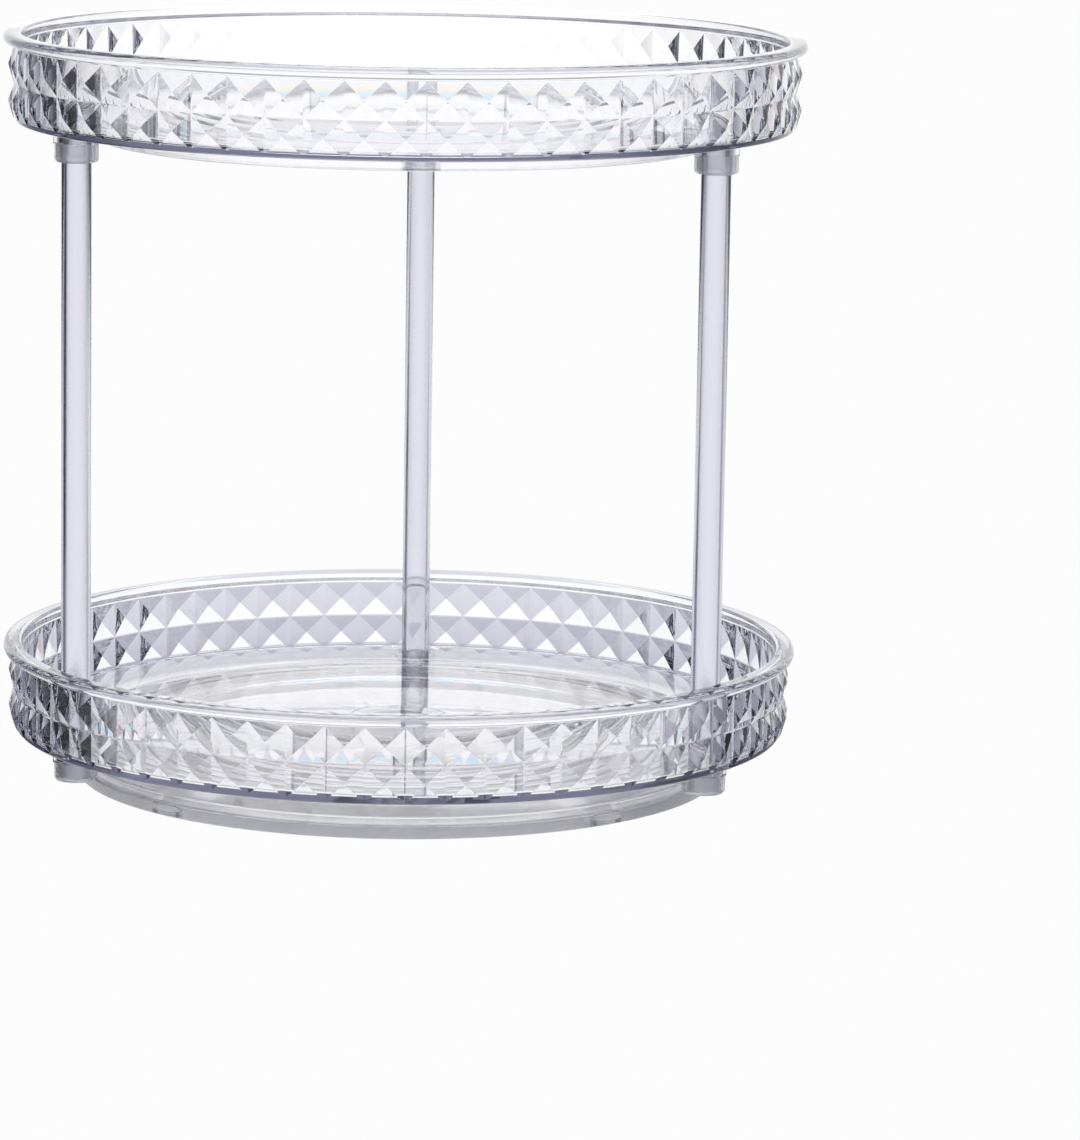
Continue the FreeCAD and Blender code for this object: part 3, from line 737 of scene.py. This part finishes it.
# ------------------------------------------------------------------------------------------------
# Pivot washer and pin. The pin is pushed into the base's hollow pivot, and its head holds a thin
# steel washer that keeps the lower tray's hub from lifting off.
WASHER_RADIUS = 11.0 * mm
PIN_HEAD_RADIUS = 5.0 * mm
PIN_HEAD = 1.2 * mm
PIN_HEAD_CHAMFER = 0.4 * mm
seat = pivot_top + WASHER
turn([(WASHER_RADIUS, pivot_top), (WASHER_RADIUS, seat), (pin_bore, seat), (pin_bore, pivot_top),
      (WASHER_RADIUS, pivot_top)], sides=96)
washer = close_piece("pivot_washer_disc")
turn([(0, seat - PIN_LENGTH), (PIN_RADIUS, seat - PIN_LENGTH), (PIN_RADIUS, seat),
      (PIN_HEAD_RADIUS, seat), (PIN_HEAD_RADIUS, seat + PIN_HEAD - PIN_HEAD_CHAMFER),
      (PIN_HEAD_RADIUS - PIN_HEAD_CHAMFER, seat + PIN_HEAD), (0, seat + PIN_HEAD)], sides=64)
pin = close_piece("pivot_pin_clear")
stamped = Finish("stamped washer steel")
stamped_marks = stamped.noise(700.0, detail=4.0)
washer_steel = stamped.output(stamped.node("ShaderNodeBsdfPrincipled", {}, {
    "Base Color": stamped.blend(stamped_marks, (0.60, 0.61, 0.63, 1), (0.74, 0.75, 0.76, 1)),
    "Metallic": 1.0,
    "Roughness": 0.25 + stamped_marks * 0.2,
}))
fit(washer, "base", "washer_steel", washer_steel, "pivot_washer")
fit(pin, "base", "pin_plastic", clear_plastic("clear pin plastic", 0.02 * mm, 12.0), "pivot_pin")


# ------------------------------------------------------------------------------------------------
# Base pads. Four soft translucent discs in shallow pockets, which keep the base from sliding.
soft = Finish("soft pad rubber")
pad_grain = soft.noise(1200.0, detail=4.0)
pad_rubber = soft.output(soft.node("ShaderNodeBsdfPrincipled", {}, {
    "Base Color": soft.blend(pad_grain, (0.74, 0.75, 0.79, 1), (0.84, 0.85, 0.88, 1)),
    "Roughness": 0.45 + pad_grain * 0.2,
    "Transmission Weight": 0.55,
    "IOR": 1.43,
    "Normal": soft.node("ShaderNodeBump", {}, {"Distance": 0.05 * mm, "Height": pad_grain}),
}))
PAD_ROUND = 0.3 * mm
for number, (x, y, low, high) in pads.items():
    turn([(0, low)] + arc(PAD_RADIUS - PAD_ROUND, low + PAD_ROUND, PAD_ROUND, -90, 0, 4)
         + [(PAD_RADIUS, high), (0, high)], sides=64, at=(x, y))
    pad = close_piece(f"soft_pad_{number}")
    fit(pad, "base", "pad_rubber", pad_rubber, f"base_pad_{number}")


# ------------------------------------------------------------------------------------------------
# Stage: a plain pale floor and a plain backdrop that only the camera sees, and the studio that
# lights the piece and shows in the plastic, as bright and dark areas of the world.
PALE = (0.976, 0.978, 0.976, 1)
STAGE_RADIUS = 8.0
STAGE_STEP = 0.1
FLOOR_SINK = 0.4 * mm
TABLE_SINK = 0.6 * mm


def stage_sheet(name, kind, **place):
    """A pale sheet or dome that only the camera sees."""
    open_primitive(kind, **place)
    bpy.ops.object.mode_set(mode="OBJECT")
    sheet = bpy.context.object
    sheet.name = name
    made = Finish(name)
    sheet.data.materials.append(made.output(made.node("ShaderNodeEmission", {}, {
        "Color": PALE, "Strength": 1.0})))
    for ray in ("diffuse", "glossy", "transmission", "shadow", "volume_scatter"):
        setattr(sheet, f"visible_{ray}", False)


stage_sheet("floor", "circle", vertices=96, radius=STAGE_RADIUS - STAGE_STEP, fill_type="NGON",
            location=(0, 0, -FLOOR_SINK))
stage_sheet("backdrop", "uv_sphere", segments=48, ring_count=24, radius=STAGE_RADIUS)


def tone(level, cast=1.0):
    """A studio tone, of a brightness and a cast towards lavender."""
    return (level, level, level * cast, 1)


def bearing(degrees):
    """A place on a ramp that runs once round, from a bearing off the back of the stage."""
    return 0.5 + degrees / 360


def panels(made, across, depth):
    """The studio's white back and its dark side panels, by the bearing of what is looked at."""
    turned = made.node("ShaderNodeMath", {"operation": "ARCTAN2"}, {0: across, 1: depth})
    return made.node("ShaderNodeValToRGB", {"stops": [
        (0.0, tone(0.95)), (bearing(-125), tone(0.85)), (bearing(-110), tone(0.50, 1.05)),
        (bearing(-96), tone(0.32, 1.1)), (bearing(-88), tone(0.008, 1.4)),
        (bearing(-59), tone(0.003, 1.4)), (bearing(-52), tone(0.10, 1.3)),
        (bearing(-45), tone(0.28, 1.15)), (bearing(-34), tone(0.48, 1.1)),
        (bearing(-29), (0.66, 0.86, 0.95, 1)), (bearing(-27), (1.0, 0.90, 0.75, 1)),
        (bearing(-24), tone(1.0)), (bearing(32), tone(1.0)), (bearing(34), (0.74, 0.94, 1.0, 1)),
        (bearing(36), (0.92, 0.80, 0.64, 1)), (bearing(42), tone(0.65, 1.06)),
        (bearing(56), tone(0.50, 1.12)), (bearing(62), tone(0.28, 1.2)), (bearing(72), tone(0.28, 1.2)),
        (bearing(80), tone(0.52, 1.1)), (bearing(115), tone(0.85)), (1.0, tone(0.95))]},
        {"Fac": turned / (2 * math.pi) + 0.5})


def axes(made, vector):
    split = made.node("ShaderNodeSeparateXYZ", {}, {"Vector": vector})
    return [Tap(made, split.socket.node.outputs[axis]) for axis in "XYZ"]


# The table as the plastic picks it up, a glowing sheet with painted light and shade: a painted shadow
# close to the piece, white further off behind it, and dark painted shade where the side panels stand on
# it.
PANEL_FROM = 0.07
PANEL_BACK = 0.065
NEAR_SIDE_FROM = 0.0
NEAR_SIDE_TO = -0.08
PANEL_FADE_FROM = 0.122
PANEL_FADE_TO = 0.130
open_primitive("circle", vertices=96, radius=STAGE_RADIUS - 2 * STAGE_STEP, fill_type="NGON",
               location=(0, 0, -TABLE_SINK))
bpy.ops.object.mode_set(mode="OBJECT")
table = bpy.context.object
table.name = "table_light_and_shade"
table.visible_camera = False
cloth = Finish("table_light_and_shade")
away = cloth.node("ShaderNodeVectorMath", {"operation": "LENGTH"}, {0: cloth.place()}, output="Value")
# Bright under the base, a painted shadow ring round the piece, a thin band of painted cyan and amber
# light, then white.
shade = cloth.node("ShaderNodeValToRGB", {"stops": [
    (0.0, tone(1.05, 1.02)), (0.11, tone(1.05, 1.02)), (0.13, tone(0.47, 1.16)),
    (0.16, tone(0.52, 1.16)), (0.20, tone(0.68, 1.12)), (0.275, tone(0.80, 1.10)),
    (0.285, (0.62, 0.97, 1.15, 1)), (0.305, (1.14, 1.04, 0.84, 1)), (0.32, tone(1.10)),
    (1.0, tone(1.10))]}, {"Fac": away})
table_x, table_y = axes(cloth, cloth.place())[:2]
shade = cloth.blend(cloth.stretch(table_y, NEAR_SIDE_FROM, NEAR_SIDE_TO), shade, tone(1.03))
side = cloth.node("ShaderNodeMath", {"operation": "SIGN"}, {0: table_x})
# Painted shade where the side panels stand on the table.
panel_shade = panels(cloth, table_x - side * PANEL_FROM, table_y + PANEL_BACK)
past_base = cloth.stretch(away, PANEL_FADE_FROM, PANEL_FADE_TO)
table_colour = cloth.blend(past_base, shade, panel_shade, "MULTIPLY")
table.data.materials.append(cloth.output(cloth.node("ShaderNodeEmission", {}, {
    "Color": table_colour, "Strength": 1.0})))

# The walls by bearing and the ceiling by height, which is 0 straight down and 1 straight up.
CEILING = tone(1.6)
CEILING_FROM = 0.85
CEILING_TO = 0.90
world = bpy.data.worlds.new("studio")
bpy.context.scene.world = world
studio = Finish("studio", world)
sky_x, sky_y, sky_z = axes(studio, studio.node("ShaderNodeTexCoord", output="Generated"))
height = sky_z / 2 + 0.5
walls = studio.blend(1.0, panels(studio, sky_x, sky_y), tone(0.24, 1.2), "LIGHTEN")
up_down = studio.node("ShaderNodeValToRGB", {"stops": [
    (0.0, tone(1.14)), (0.655, tone(1.14)), (0.665, (0.95, 1.1, 1.18, 1)),
    (0.675, (1.0, 0.92, 0.80, 1)), (0.70, tone(0.42, 1.1)), (0.86, tone(0.42, 1.1)),
    (0.90, CEILING), (1.0, CEILING)]}, {"Fac": height})
light = studio.blend(1.0, walls, up_down, "MULTIPLY")
lit_from = studio.blend(studio.stretch(height, CEILING_FROM, CEILING_TO), light, CEILING)
lit = studio.node("ShaderNodeBackground", {}, {"Color": lit_from, "Strength": 1.0})
studio.node("ShaderNodeOutputWorld", {}, {"Surface": lit})

CAMERA_PLACE = Vector((0.0770, -1.5997, 0.3463))
CAMERA_DOWN = math.radians(10.087)
CAMERA_HEADING = math.radians(-1.269)
CAMERA_ROLL = math.radians(0.924)
CAMERA_LENS = 172.68
CAMERA_SENSOR = 36.0
CAMERA_REACH = 50.0
look = Vector((math.sin(CAMERA_HEADING) * math.cos(CAMERA_DOWN),
               math.cos(CAMERA_HEADING) * math.cos(CAMERA_DOWN), -math.sin(CAMERA_DOWN)))
level_right = Vector((math.cos(CAMERA_HEADING), -math.sin(CAMERA_HEADING), 0))
level_up = level_right.cross(look)
right = math.cos(CAMERA_ROLL) * level_right + math.sin(CAMERA_ROLL) * level_up
upright = right.cross(look)
lens = bpy.data.cameras.new("camera")
lens.lens = CAMERA_LENS
lens.sensor_width = CAMERA_SENSOR
lens.clip_end = CAMERA_REACH
camera = bpy.data.objects.new("camera", lens)
bpy.context.scene.collection.objects.link(camera)
camera.matrix_world = Matrix.Translation(CAMERA_PLACE) @ Matrix(
    (right, upright, -look)).transposed().to_4x4()
bpy.context.scene.camera = camera

# Light has to cross many walls of the clear trays before it reaches the camera.
stage_scene = bpy.context.scene
stage_scene.view_settings.view_transform = "Standard"
stage_scene.cycles.max_bounces = 40
stage_scene.cycles.transmission_bounces = 40
stage_scene.cycles.glossy_bounces = 16
